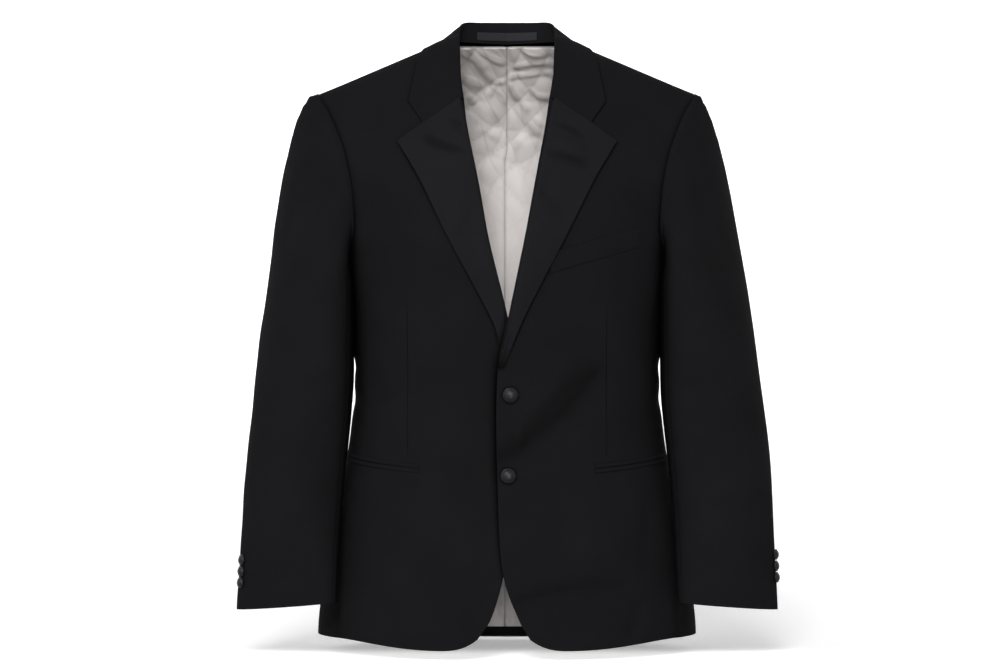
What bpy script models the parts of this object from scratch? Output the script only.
"""Man's suit jacket, filled out as if worn, in metres.

X is across (the viewer's right is the wearer's left), Y runs from front to back, Z is up.
The origin is the point that the wearer's shoulders hold: centre of the neck, at the shoulder
seam's height. Every cloth panel is a grid laid on one torso or sleeve surface, then made solid.
"""

import math

import bmesh
import bpy
from mathutils import Vector

# Cloth and seams
CLOTH = 0.0016
THIN_CLOTH = 0.0012
SEAM = 0.0004
LAYER = 0.0026
RIDGE_SEAM = 0.0030
SHOULDER_GAP = 0.0012

# Shoulder line: height falls from the neck point to the sleeve
NECK_POINT_X = 0.085
SHOULDER_TIP_X = 0.234
SHOULDER_DROP = 0.0632
SHOULDER_ROUND = 0.20
SECTION_POWER = 2.2

# Torso sections: height, half width, front depth, back depth
TORSO = [
    (-0.780, 0.238, 0.152, 0.140),
    (-0.700, 0.2335, 0.146, 0.132),
    (-0.600, 0.220, 0.134, 0.116),
    (-0.500, 0.197, 0.123, 0.100),
    (-0.426, 0.190, 0.119, 0.095),
    (-0.350, 0.193, 0.127, 0.108),
    (-0.277, 0.202, 0.134, 0.122),
    (-0.195, 0.218, 0.129, 0.126),
    (-0.145, 0.235, 0.118, 0.124),
    (-0.070, 0.262, 0.099, 0.122),
    (0.040, 0.290, 0.088, 0.120),
]

# Armhole: sleeve angle, torso angle from the centre front, height
ARMHOLE = [
    (0, 62.0, -0.0632),
    (35, 57.8, -0.095),
    (70, 56.9, -0.145),
    (105, 60.6, -0.200),
    (140, 65.5, -0.245),
    (165, 78.0, -0.270),
    (180, 90.0, -0.277),
    (195, 101.0, -0.270),
    (220, 112.0, -0.242),
    (255, 116.0, -0.195),
    (290, 117.0, -0.145),
    (325, 117.5, -0.095),
    (360, 118.0, -0.0632),
]
FRONT_SEAM_TURN = 140
BACK_SEAM_TURN = 220
FRONT_SEAM_ANGLE = 65.5
BACK_SEAM_ANGLE = 112.0

# Front edge and roll line: height, x of the upper (wearer's left) front, of the lower front
FRONT_EDGE = [
    (-0.7310, 0.0278, 0.0360),
    (-0.7070, 0.0140, 0.0200),
    (-0.6560, -0.0042, 0.0046),
    (-0.5620, -0.0110, -0.0130),
    (-0.4080, -0.0114, -0.0140),
    (-0.3300, 0.0040, 0.0020),
    (-0.2490, 0.0206, 0.0217),
    (-0.1760, 0.0340, 0.0349),
    (-0.1040, 0.0475, 0.0494),
    (-0.0670, 0.0530, 0.0540),
    (-0.0200, 0.0640, 0.0640),
    (0.0000, 0.0850, 0.0850),
]
HEM_FRONT = -0.7450
HEM_SEAM = -0.7348
HEM_SIDE = -0.735
HEM_BACK = -0.7535
BACK_NECK = 0.0035
CORNER_SHARE = 0.20

# Sleeve sections below the cap: height, centre x, half width, centre y, half depth, lean
SLEEVE = [
    (-0.300, 0.2430, 0.0575, -0.008, 0.070, 0.030),
    (-0.370, 0.2485, 0.0610, -0.016, 0.066, 0.024),
    (-0.445, 0.2530, 0.0630, -0.029, 0.060, 0.012),
    (-0.520, 0.2595, 0.0625, -0.048, 0.052, 0.006),
    (-0.600, 0.2650, 0.0615, -0.070, 0.042, 0.008),
    (-0.660, 0.2680, 0.0620, -0.083, 0.032, 0.014),
    (-0.700, 0.2695, 0.0620, -0.090, 0.026, 0.016),
]
CAP_ROUND = {1: 0.56, -1: 0.42}
UNDERARM_ROUND = 0.80
CAP_SHARE = 0.45

# Sleeve seams: share of the way from armhole to cuff, front seam's angle, elbow seam's angle
SLEEVE_SEAMS = [
    (0.0, 140.0, -60.0),
    (0.5, 150.0, -32.0),
    (1.0, 160.0, 8.0),
]
CUFF_RISE = 0.0056
ARMHOLE_GAP = 0.0012
SLEEVE_SEAM_TURN = 1.6
ARMHOLE_SHARE = 0.004
# The arm rests against the torso between these heights, this far off and this gently
REST_HIGH = -0.200
REST_LOW = -0.260
REST_GAP = 0.0012
REST_EASE = 0.004
# The wearer's left arm hangs a little farther out: how far, at what height, over what height
ARM_OUT = {1: 0.0035, -1: 0.0}
ARM_OUT_HEIGHT = -0.51
ARM_OUT_REACH = 0.12

# Width and height of the panels, for the gaps at their seams
LONG_PANEL = (0.2, 0.7)
SIDE_PANEL = (0.1, 0.4)
LINING_PANEL = (0.1, 0.7)

# Collar fold line, from the centre back round to the gorge: share, x, y, z
COLLAR_FOLD = [
    (0.00, 0.0000, 0.0780, 0.0340),
    (0.16, 0.0320, 0.0720, 0.0335),
    (0.30, 0.0525, 0.0540, 0.0320),
    (0.44, 0.0605, 0.0260, 0.0245),
    (0.58, 0.0630, -0.0060, 0.0060),
    (0.72, 0.0620, -0.0400, -0.0190),
    (0.86, 0.0595, -0.0680, -0.0460),
    (1.00, 0.0565, -0.0860, -0.0735),
]
# Collar's outer edge, from the centre back round to the collar's point: share, x, y, z
COLLAR_EDGE = [
    (0.00, 0.0000, 0.1000, -0.0060),
    (0.16, 0.0450, 0.0920, -0.0060),
    (0.30, 0.0820, 0.0640, -0.0060),
    (0.44, 0.0965, 0.0260, -0.0045),
    (0.58, 0.1035, -0.0060, -0.0090),
    (0.72, 0.1120, -0.0360, -0.0280),
    (0.86, 0.1165, -0.0600, -0.0520),
    (1.00, 0.1213, -0.0740, -0.0759),
]
NOTCH = (0.1023, -0.1041)
GORGE_TOP = (0.0565, -0.0735)
GORGE_SHARE = 0.70
COLLAR_POINT = (0.1213, -0.0759)
LEAF_LIFT = 0.0034
LEAF_BULGE = 0.0035
STAND_END = 0.60
STAND_DEPTH = 0.0026

# Lapels: height, x of the roll line, x of the outer edge
UPPER_LAPEL = [
    (-0.4030, -0.0112, -0.0040),
    (-0.3700, -0.0030, 0.0085),
    (-0.3300, 0.0042, 0.0260),
    (-0.2490, 0.0208, 0.0680),
    (-0.1760, 0.0342, 0.1050),
    (-0.1290, 0.0430, 0.1330),
]
LOWER_LAPEL = [
    (-0.3780, 0.0084, 0.0096),
    (-0.3550, 0.0036, 0.0140),
    (-0.3300, 0.0026, 0.0255),
    (-0.2490, 0.0219, 0.0690),
    (-0.1760, 0.0351, 0.1060),
    (-0.1290, 0.0450, 0.1350),
]
LAPEL_LIFT = 0.0046
LAPEL_SWELL = 0.0015
LAPEL_TOP_IN = (0.0560, -0.0762)
LAPEL_NOTCH = (0.1015, -0.1062)
LAPEL_POINT = (0.1330, -0.1282)
FOLD_END = Vector(COLLAR_FOLD[-1][1:])
EDGE_END = Vector(COLLAR_EDGE[-1][1:])

# Lining, hem band and label strip: depth inside the cloth, and shares of the panel they cover
LINING_DEPTH = -0.0048
LINING_WIDTH = 0.86
LINING_TOP = 0.984
LINING_HEM = 0.016
BAND_DEPTH = -0.0024
BAND_LOW = 0.001
BAND_HIGH = 0.018
STRIP_HALF = 0.167
STRIP_LOW = 0.15
STRIP_HIGH = 0.54

# Pockets
WELT_LIFT = 0.0022
WELT_WALL = 0.0012
WELT_INNER = (0.0520, -0.2890)
WELT_OUTER = (0.1617, -0.2569)
WELT_HEIGHT = 0.0246
JET_LIFT = 0.0022
JET_WALL = 0.0012
JET_HEIGHT = 0.0048
JET_GAP = 0.0005
JET_INNER = (0.1060, -0.5265)
JET_OUTER_ANGLE = 78.0
JET_OUTER_HEIGHT = -0.5140

# Covered buttons
FRONT_BUTTON = 0.0090
FRONT_DOME = 0.0042
FRONT_BUTTONS = [("upper", 0.0039, -0.4367), ("lower", 0.0013, -0.5345)]
CUFF_BUTTON = 0.0067
CUFF_DOME = 0.0034
CUFF_STEP = 0.0139
CUFF_BUTTONS = {"left": (14.0, -0.6330), "right": (24.0, -0.6395)}
BUTTON_LIFT = 0.0020
BUTTON_RIM = 0.0012
BUTTON_STEPS = 16


def read(table, column, at):
    """The table's column at a place, on a smooth curve through its rows."""
    rows = sorted(table)
    at = min(max(at, rows[0][0]), rows[-1][0])
    place = max(i for i in range(len(rows) - 1) if rows[i][0] <= at)

    def slope(i):
        low = max(i - 1, 0)
        high = min(i + 1, len(rows) - 1)
        return (rows[high][column] - rows[low][column]) / (rows[high][0] - rows[low][0])

    start, end = rows[place], rows[place + 1]
    step = end[0] - start[0]
    t = (at - start[0]) / step
    rise = (2 * t**3 - 3 * t**2 + 1) * start[column] + (3 * t**2 - 2 * t**3) * end[column]
    bend = (t**3 - 2 * t**2 + t) * slope(place) + (t**3 - t**2) * slope(place + 1)
    return rise + bend * step


def mix(a, b, t):
    return a + (b - a) * t


def smooth_step(low, high, value):
    t = min(max((value - low) / (high - low), 0.0), 1.0)
    return t * t * (3 - 2 * t)


def shoulder_height(x):
    slope = SHOULDER_DROP / (SHOULDER_TIP_X - NECK_POINT_X)
    return slope * (NECK_POINT_X - abs(x))


def torso(angle, z):
    """A point on the torso, half of it: 0 is the centre front, 90 the side, 180 the centre back."""
    turn = math.radians(angle)
    across = abs(math.sin(turn)) ** (2 / SECTION_POWER)
    along = abs(math.cos(turn)) ** (2 / SECTION_POWER)
    x = math.copysign(read(TORSO, 1, z) * across, math.sin(turn))
    fall = min(max((shoulder_height(x) - z) / SHOULDER_ROUND, 0.0), 1.0)
    ridge = math.sqrt(1 - (1 - fall) ** 2)
    apart = SHOULDER_GAP * (1 - ridge)
    if angle < 90:
        return Vector((x, -read(TORSO, 2, z) * along * ridge - apart, z))
    return Vector((x, read(TORSO, 3, z) * along * ridge + apart, z))


def angle_at(x, z, back=False):
    """The torso angle where the surface has this x."""
    share = min(abs(x) / read(TORSO, 1, z), 1.0) ** (SECTION_POWER / 2)
    turn = math.copysign(math.degrees(math.asin(share)), x)
    return 180 - turn if back else turn


def armhole_chart(turn):
    return read(ARMHOLE, 1, turn), read(ARMHOLE, 2, turn)


def hem_height(angle):
    if angle > 90:
        return mix(HEM_SIDE, HEM_BACK, smooth_step(90, 180, angle))
    return mix(HEM_SEAM, HEM_SIDE, smooth_step(FRONT_SEAM_ANGLE, 90, angle))


def coons(bottom, top, inner, outer, s, t):
    """A point inside four edges, each a function of its own share, in any number of columns."""
    corners = (bottom(0), bottom(1), top(0), top(1))
    sides = zip(bottom(s), top(s), inner(t), outer(t), *corners)
    return [
        mix(b, h, t)
        + mix(i, o, s)
        - mix(mix(c00, c10, s), mix(c01, c11, s), t)
        for b, h, i, o, c00, c10, c01, c11 in sides
    ]


def upward(t):
    """Rows lie closer together towards the shoulder, where the cloth turns over."""
    level = 0.62
    reach = 0.735
    if t < level:
        return t / level * reach
    rest = (t - level) / (1 - level)
    return reach + (1 - reach) * (1 - (1 - rest) ** 2)


def front_chart(s, t, edge_column):
    """Angle and height on a front panel: s from the front edge out, t from the hem up."""
    low = FRONT_EDGE[0][0]

    def front_edge(share):
        z = mix(low, 0.0, share)
        return angle_at(read(FRONT_EDGE, edge_column, z), z), z

    def side_edge(share):
        z = mix(HEM_SEAM, ARMHOLE[0][2], share)
        turn_height = read(ARMHOLE, 2, FRONT_SEAM_TURN)
        if z <= turn_height:
            return FRONT_SEAM_ANGLE, z
        turn = turn_at_height(z, 0, FRONT_SEAM_TURN)
        return armhole_chart(turn)

    def hem(share):
        start = front_edge(0)[0]
        angle = mix(start, FRONT_SEAM_ANGLE, share)
        corner = (low - HEM_FRONT) * max(1 - share / CORNER_SHARE, 0.0) ** 3.0
        return angle, mix(HEM_FRONT, HEM_SEAM, smooth_step(0.20, 0.90, share)) + corner

    def shoulder(share):
        x = mix(NECK_POINT_X, SHOULDER_TIP_X, share)
        z = shoulder_height(x)
        return angle_at(x, z), z

    return coons(hem, shoulder, front_edge, side_edge, s, t)


def turn_at_height(z, low, high):
    """The sleeve angle where one side of the armhole has this height, found by halving."""
    rising = read(ARMHOLE, 2, high) > read(ARMHOLE, 2, low)
    for _ in range(30):
        middle = (low + high) / 2
        if (read(ARMHOLE, 2, middle) < z) == rising:
            low = middle
        else:
            high = middle
    return (low + high) / 2


def side_chart(s, t):
    """Angle and height on a side panel: s from the front seam to the back seam."""

    def hem(share):
        angle = mix(FRONT_SEAM_ANGLE, BACK_SEAM_ANGLE, share)
        return angle, hem_height(angle)

    def underarm(share):
        return armhole_chart(mix(FRONT_SEAM_TURN, BACK_SEAM_TURN, share))

    def front_seam(share):
        return FRONT_SEAM_ANGLE, mix(hem(0)[1], underarm(0)[1], share)

    def back_seam(share):
        return BACK_SEAM_ANGLE, mix(hem(1)[1], underarm(1)[1], share)

    return coons(hem, underarm, front_seam, back_seam, s, t)


def back_chart(s, t):
    """Angle and height on a back panel: s from the centre seam out, t from the hem up."""

    def centre(share):
        return 180.0, mix(HEM_BACK, BACK_NECK, share)

    def side_edge(share):
        z = mix(hem_height(BACK_SEAM_ANGLE), ARMHOLE[-1][2], share)
        if z <= read(ARMHOLE, 2, BACK_SEAM_TURN):
            return BACK_SEAM_ANGLE, z
        return armhole_chart(turn_at_height(z, BACK_SEAM_TURN, 360))

    def hem(share):
        angle = mix(180.0, BACK_SEAM_ANGLE, share)
        return angle, hem_height(angle)

    def top(share):
        x = SHOULDER_TIP_X * share
        z = shoulder_height(x) if x > NECK_POINT_X else BACK_NECK * (1 - (x / NECK_POINT_X) ** 2)
        return angle_at(x, z, back=True), z

    return coons(hem, top, centre, side_edge, s, t)


def torso_normal(angle, z):
    """Which way the torso faces here; at the shoulder line, a little below it is used."""
    level = min(z, shoulder_height(torso(angle, z).x) - 0.004)
    across = torso(angle + 0.5, level) - torso(angle - 0.5, level)
    along = torso(angle, level) - torso(angle, level - 0.004)
    normal = across.cross(along).normalized()
    return -normal if normal.dot(torso(angle, level) - Vector((0, 0, level))) < 0 else normal


def lifted(angle, z, lift):
    return torso(angle, z) + torso_normal(angle, z) * lift


def mirror(point, side):
    return Vector((point.x * side, point.y, point.z))


# ---------------------------------------------------------------- sleeve surface


def sleeve_ring(turn, z, side=-1):
    """A point on the sleeve below its cap: 0 faces away from the body, 90 faces forward."""
    angle = math.radians(turn)
    lean = read(SLEEVE, 5, z)
    off = (z - ARM_OUT_HEIGHT) / ARM_OUT_REACH
    out = ARM_OUT[side] * math.exp(-off * off) * (1 + math.cos(angle)) / 2
    x = read(SLEEVE, 1, z) + read(SLEEVE, 2, z) * math.cos(angle) + out
    y = read(SLEEVE, 3, z) - read(SLEEVE, 4, z) * math.sin(angle) + lean * math.cos(angle)
    low = (SLEEVE[0][0] - z) / (SLEEVE[0][0] - SLEEVE[-1][0])
    return Vector((x, y, z + CUFF_RISE * low * (1 - math.cos(angle))))


def armhole_point(turn):
    angle, z = armhole_chart(turn % 360)
    return torso(angle, z)


def beside_body(point):
    """Keeps the sleeve just off the torso where the arm rests against it."""
    depth = read(TORSO, 2 if point.y < 0 else 3, point.z)
    flat = (1 - min(abs(point.y) / depth, 1.0) ** SECTION_POWER) ** (1 / SECTION_POWER)
    limit = read(TORSO, 1, point.z) * flat + REST_GAP
    off = point.x - limit
    held = limit + (off + math.sqrt(off * off + REST_EASE**2)) / 2
    x = mix(point.x, held, smooth_step(REST_HIGH, REST_LOW, point.z))
    return Vector((x, point.y, point.z))


def sleeve(turn, share, side):
    """A point on the whole sleeve: share runs from the armhole to the cuff."""
    if share >= CAP_SHARE:
        rest = (share - CAP_SHARE) / (1 - CAP_SHARE)
        point = sleeve_ring(turn, mix(SLEEVE[0][0], SLEEVE[-1][0], rest), side)
        return mirror(beside_body(point), side)
    start = armhole_point(turn) + Vector((ARMHOLE_GAP, 0, 0))
    end = sleeve_ring(turn, SLEEVE[0][0])
    down = (share / CAP_SHARE) ** 2
    under = (1 - math.cos(math.radians(turn))) / 2
    out = down ** mix(CAP_ROUND[side], UNDERARM_ROUND, under)
    z = mix(start.z, end.z, down)
    point = Vector((mix(start.x, end.x, out), mix(start.y, end.y, out), z))
    return mirror(beside_body(point), side)


def sleeve_axis(point):
    z = min(max(point.z, SLEEVE[-1][0]), SLEEVE[0][0])
    side = math.copysign(1, point.x)
    return Vector((side * (read(SLEEVE, 1, z) - 0.02), read(SLEEVE, 3, z), point.z - 0.04))


def torso_axis(point):
    return Vector((0, 0, point.z - 0.03))


# ---------------------------------------------------------------- making pieces


def clear_scene():
    for item in list(bpy.data.objects):
        bpy.data.objects.remove(item)


def paint(name, colour, roughness, sheen=0.0):
    material = bpy.data.materials.new(name)
    material.use_nodes = True
    surface = material.node_tree.nodes["Principled BSDF"]
    surface.inputs["Base Color"].default_value = (*colour, 1)
    surface.inputs["Roughness"].default_value = roughness
    surface.inputs["Metallic"].default_value = 0.0
    surface.inputs["Sheen Weight"].default_value = sheen
    return material


def add(name, mesh_data, material, collection):
    piece = bpy.data.objects.new(name, mesh_data)
    mesh_data.materials.append(material)
    collection.objects.link(piece)
    return piece


def cloth_piece(name, place, columns, rows, wall, material, collection, axis=torso_axis):
    """A cloth wall on the surface place(s, t), with its outer face on that surface."""
    work = bmesh.new()
    bmesh.ops.create_grid(work, x_segments=columns, y_segments=rows, size=1)
    for vert in work.verts:
        vert.co = place((vert.co.x + 1) / 2, (vert.co.y + 1) / 2)
    bmesh.ops.recalc_face_normals(work, faces=work.faces)
    work.normal_update()
    facing = sum(
        face.normal.dot(face.calc_center_median() - axis(face.calc_center_median())) * face.calc_area()
        for face in work.faces
    )
    if facing < 0:
        bmesh.ops.reverse_faces(work, faces=work.faces)
    mesh_data = bpy.data.meshes.new(name)
    work.to_mesh(mesh_data)
    work.free()
    piece = add(name, mesh_data, material, collection)
    solid = piece.modifiers.new("cloth wall", "SOLIDIFY")
    solid.thickness = wall
    solid.offset = -1
    solid.use_even_offset = False
    mesh_data.shade_smooth()
    return piece


def trimmed(place, across, along, top=SEAM):
    """The same surface, a seam's gap inside its four edges: its width and height are given."""

    def inner(s, t):
        side, end = SEAM / across, SEAM / along
        return place(mix(side, 1 - side, s), mix(end, 1 - top / along, t))

    return inner


# ---------------------------------------------------------------- fronts, sides, backs


def front_place(side):
    column = 1 if side > 0 else 2

    def place(s, t):
        angle, z = front_chart(s, upward(t), column)
        point = torso(angle, z)
        back = LAYER * smooth_step(0.060, 0.020, point.x) if side < 0 else 0.0
        return mirror(point - torso_normal(angle, z) * back, side)

    return place


def side_place(side):
    return lambda s, t: mirror(torso(*side_chart(s, t)), side)


def back_place(side):
    return lambda s, t: mirror(torso(*back_chart(s, upward(t))), side)


def make_body(side, word, cloth, body):
    front = trimmed(front_place(side), *LONG_PANEL, RIDGE_SEAM)
    back = trimmed(back_place(side), *LONG_PANEL, RIDGE_SEAM)
    cloth_piece(f"front_{word}", front, 10, 20, CLOTH, cloth, body)
    cloth_piece(f"side_panel_{word}", trimmed(side_place(side), *SIDE_PANEL), 5, 9, CLOTH, cloth, body)
    cloth_piece(f"back_{word}", back, 9, 18, CLOTH, cloth, body)


def make_sleeve(side, word, cloth, body):
    def top(s, t):
        share = mix(ARMHOLE_SHARE, 1, t)
        low, high = read(SLEEVE_SEAMS, 2, share), read(SLEEVE_SEAMS, 1, share)
        return sleeve(mix(low + SLEEVE_SEAM_TURN, high - SLEEVE_SEAM_TURN, s), share, side)

    def under(s, t):
        share = mix(ARMHOLE_SHARE, 1, t)
        low, high = read(SLEEVE_SEAMS, 1, share), read(SLEEVE_SEAMS, 2, share) + 360
        return sleeve(mix(low + SLEEVE_SEAM_TURN, high - SLEEVE_SEAM_TURN, s), share, side)

    cloth_piece(f"top_sleeve_{word}", top, 11, 20, CLOTH, cloth, body, sleeve_axis)
    cloth_piece(f"under_sleeve_{word}", under, 8, 20, CLOTH, cloth, body, sleeve_axis)


# ---------------------------------------------------------------- collar and lapels


def front_surface(x, z, lift):
    return lifted(angle_at(x, z), z, lift)


def end_line(start, corner, end, share):
    """Along the gorge seam to the notch's corner, then out along the notch."""
    if share < GORGE_SHARE:
        along = share / GORGE_SHARE
        return mix(start[0], corner[0], along), mix(start[1], corner[1], along)
    along = (share - GORGE_SHARE) / (1 - GORGE_SHARE)
    return mix(corner[0], end[0], along), mix(corner[1], end[1], along)


def shoulder_top(x, y):
    """How high the shoulder is at this x and y."""
    column = 2 if y < 0 else 3
    along = abs(math.cos(math.radians(angle_at(x, -0.03)))) ** (2 / SECTION_POWER)
    depth = read(TORSO, column, -0.03) * along
    run = min(abs(y) / depth, 0.98)
    return shoulder_height(x) - SHOULDER_ROUND * (1 - math.sqrt(1 - run * run))


def collar_leaf(s, t):
    """The turned-down collar: s runs from the wearer's right point to the left one, t from fold to edge."""
    share = abs(2 * s - 1)
    side = 1 if s >= 0.5 else -1
    fold = Vector([read(COLLAR_FOLD, column, share) for column in (1, 2, 3)])
    edge = Vector([read(COLLAR_EDGE, column, share) for column in (1, 2, 3)])
    point = fold.lerp(edge, t)
    end_x, end_z = end_line(GORGE_TOP, NOTCH, COLLAR_POINT, t)
    last = FOLD_END.lerp(EDGE_END, t)
    pull = smooth_step(0.55, 1.0, share)
    point.x += (end_x - last.x) * pull
    point.z += (end_z - last.z) * pull
    point.y += LEAF_BULGE * math.sin(math.pi * t) * smooth_step(0.6, 0.2, share)
    if share < 0.86:
        point.z = max(point.z, shoulder_top(point.x, point.y) + LEAF_LIFT)
    back = point.y > 0.004
    surface = torso(angle_at(point.x, point.z, back), point.z)
    if back:
        point.y = max(point.y, surface.y + LEAF_LIFT)
    elif share > 0.6:
        rest = front_surface(point.x, point.z, LEAF_LIFT)
        point.y = mix(point.y, rest.y, smooth_step(0.6, 0.8, share) * smooth_step(0.0, 0.25, t))
        point.y = min(point.y, surface.y - LEAF_LIFT)
    return mirror(point, side)


def collar_stand(s, t):
    """The inner band that shows inside the neck: t runs from the neck seam up to the fold."""
    share = abs(2 * s - 1) * STAND_END
    side = 1 if s >= 0.5 else -1
    top = Vector([read(COLLAR_FOLD, column, share) for column in (1, 2, 3)])
    x = NECK_POINT_X * 0.80 * math.sin(math.pi / 2 * min(share / 0.52, 1.0))
    seam = torso(angle_at(x, BACK_NECK, back=True), BACK_NECK)
    foot = Vector((x, seam.y - 0.001, BACK_NECK + 0.001))
    foot = foot.lerp(top - Vector((0, 0, 0.012)), smooth_step(0.40, STAND_END, share))
    inward = Vector((-top.x, -0.02 - top.y, 0)).normalized() * STAND_DEPTH
    return mirror(foot.lerp(top + Vector((0, 0, -0.0012)), t) + inward, side)


def lapel_place(side):
    """One lapel: s runs from the roll line to the outer edge, t from the lowest point to the gorge."""
    table = UPPER_LAPEL if side > 0 else LOWER_LAPEL
    low, high = table[0][0], table[-1][0]

    def place(s, t):
        z = mix(low, high, t)
        x = mix(read(table, 1, z), read(table, 2, z), s)
        top_x, top_z = end_line(LAPEL_TOP_IN, LAPEL_NOTCH, LAPEL_POINT, s)
        pull = smooth_step(0.55, 1.0, t)
        x += (top_x - mix(read(table, 1, high), read(table, 2, high), s)) * pull
        z += (top_z - high) * pull
        swell = LAPEL_SWELL * math.sin(math.pi * s) * math.sin(math.pi * t)
        return mirror(front_surface(x, z, LAPEL_LIFT + swell), side)

    return place


def make_collar(cloth, satin, body):
    cloth_piece("collar_leaf", collar_leaf, 28, 5, CLOTH, cloth, body)
    cloth_piece("collar_stand", collar_stand, 20, 3, THIN_CLOTH, cloth, body)
    for side, word in ((1, "left"), (-1, "right")):
        cloth_piece(f"lapel_{word}", lapel_place(side), 6, 14, THIN_CLOTH, satin, body)


# ---------------------------------------------------------------- lining, band and strip

def lining_place(side):
    def place(s, t):
        level = mix(LINING_HEM, LINING_TOP, t)
        angle, z = back_chart(s * LINING_WIDTH, upward(level))
        return mirror(lifted(angle, z, LINING_DEPTH), side)

    return place


def hem_band(s, t):
    """The jacket's own cloth turned up inside the back hem."""
    side = 1 if s >= 0.5 else -1
    angle, z = back_chart(abs(2 * s - 1) * LINING_WIDTH, 0)
    return mirror(lifted(angle, z + mix(BAND_LOW, BAND_HIGH, t), BAND_DEPTH), side)


def label_strip(s, t):
    spot = mix(0.5 - STRIP_HALF, 0.5 + STRIP_HALF, s)
    point = collar_stand(spot, mix(STRIP_LOW, STRIP_HIGH, t))
    return point + Vector((0, -THIN_CLOTH - SEAM - THIN_CLOTH * 0.5, 0))


def make_inside(cloth, lining, label, body):
    for side, word in ((1, "left"), (-1, "right")):
        place = trimmed(lining_place(side), *LINING_PANEL)
        cloth_piece(f"back_lining_{word}", place, 6, 14, THIN_CLOTH, lining, body)
    cloth_piece("back_hem_band", hem_band, 14, 1, THIN_CLOTH, cloth, body)
    cloth_piece("label_strip", label_strip, 6, 1, THIN_CLOTH * 0.5, label, body)


# ---------------------------------------------------------------- pockets

def welt(s, t):
    x = mix(WELT_INNER[0], WELT_OUTER[0], s)
    z = mix(WELT_INNER[1], WELT_OUTER[1], s) + WELT_HEIGHT * t
    return front_surface(x, z, WELT_LIFT)


def jet_place(side, low):
    def place(s, t):
        z = mix(JET_INNER[1], JET_OUTER_HEIGHT, s) + low + JET_HEIGHT * t
        angle = mix(angle_at(JET_INNER[0], JET_INNER[1]), JET_OUTER_ANGLE, s)
        return mirror(lifted(angle, z, JET_LIFT), side)

    return place


def make_pockets(cloth, satin, body):
    cloth_piece("breast_welt", welt, 6, 1, WELT_WALL, cloth, body)
    for side, word in ((1, "left"), (-1, "right")):
        for row, low in (("upper", JET_GAP), ("lower", -JET_GAP - JET_HEIGHT)):
            cloth_piece(f"hip_jet_{row}_{word}", jet_place(side, low), 8, 1, JET_WALL, satin, body)


# ---------------------------------------------------------------- buttons

def button_mesh(name, radius, dome):
    """Half the outline of a covered button, which the Screw modifier turns."""
    outline = [(0.0, dome)]
    for step in range(1, 5):
        turn = math.radians(90 - 90 * step / 4)
        outline.append((radius * math.cos(turn), dome * math.sin(turn)))
    outline += [(radius * 0.94, -BUTTON_RIM), (0.0, -BUTTON_RIM)]
    mesh_data = bpy.data.meshes.new(name)
    edges = [(i, i + 1) for i in range(len(outline) - 1)]
    mesh_data.from_pydata([(x, 0, z) for x, z in outline], edges, [])
    return mesh_data


def add_button(name, mesh_data, point, normal, material, body):
    piece = add(name, mesh_data.copy(), material, body)
    piece.location = point + normal * BUTTON_LIFT
    piece.rotation_euler = normal.to_track_quat("Z", "Y").to_euler()
    turned = piece.modifiers.new("turned", "SCREW")
    turned.steps = turned.render_steps = BUTTON_STEPS
    turned.use_merge_vertices = True
    turned.merge_threshold = 0.00001
    return piece


def make_buttons(satin, body):
    large = button_mesh("front_button", FRONT_BUTTON, FRONT_DOME)
    for word, x, z in FRONT_BUTTONS:
        angle = angle_at(x, z)
        point = torso(angle, z)
        add_button(f"front_button_{word}", large, point, torso_normal(angle, z), satin, body)
    small = button_mesh("cuff_button", CUFF_BUTTON, CUFF_DOME)
    for word, (turn, top) in CUFF_BUTTONS.items():
        side = 1 if word == "left" else -1
        for place in range(3):
            z = top - CUFF_STEP * place
            point = sleeve_ring(turn, z, side)
            across = sleeve_ring(turn + 2, z) - sleeve_ring(turn - 2, z)
            along = sleeve_ring(turn, z + 0.004) - sleeve_ring(turn, z - 0.004)
            normal = along.cross(across).normalized()
            normal = -normal if normal.x < 0 else normal
            name = f"cuff_button_{word}_{place + 1}"
            add_button(name, small, mirror(point, side), mirror(normal, side), satin, body)


def main():
    clear_scene()
    body = bpy.data.collections.new("suit_jacket")
    bpy.context.scene.collection.children.link(body)
    cloth = paint("black wool", (0.010, 0.010, 0.011), 0.85, 0.3)
    satin = paint("black facing", (0.014, 0.014, 0.016), 0.5)
    lining = paint("pale grey lining", (0.52, 0.50, 0.49), 0.35)
    label = paint("plain label strip", (0.035, 0.035, 0.037), 0.6)
    make_collar(cloth, satin, body)
    make_inside(cloth, lining, label, body)
    make_pockets(cloth, satin, body)
    make_buttons(satin, body)
    for side, word in ((1, "left"), (-1, "right")):
        make_body(side, word, cloth, body)
        make_sleeve(side, word, cloth, body)


main()
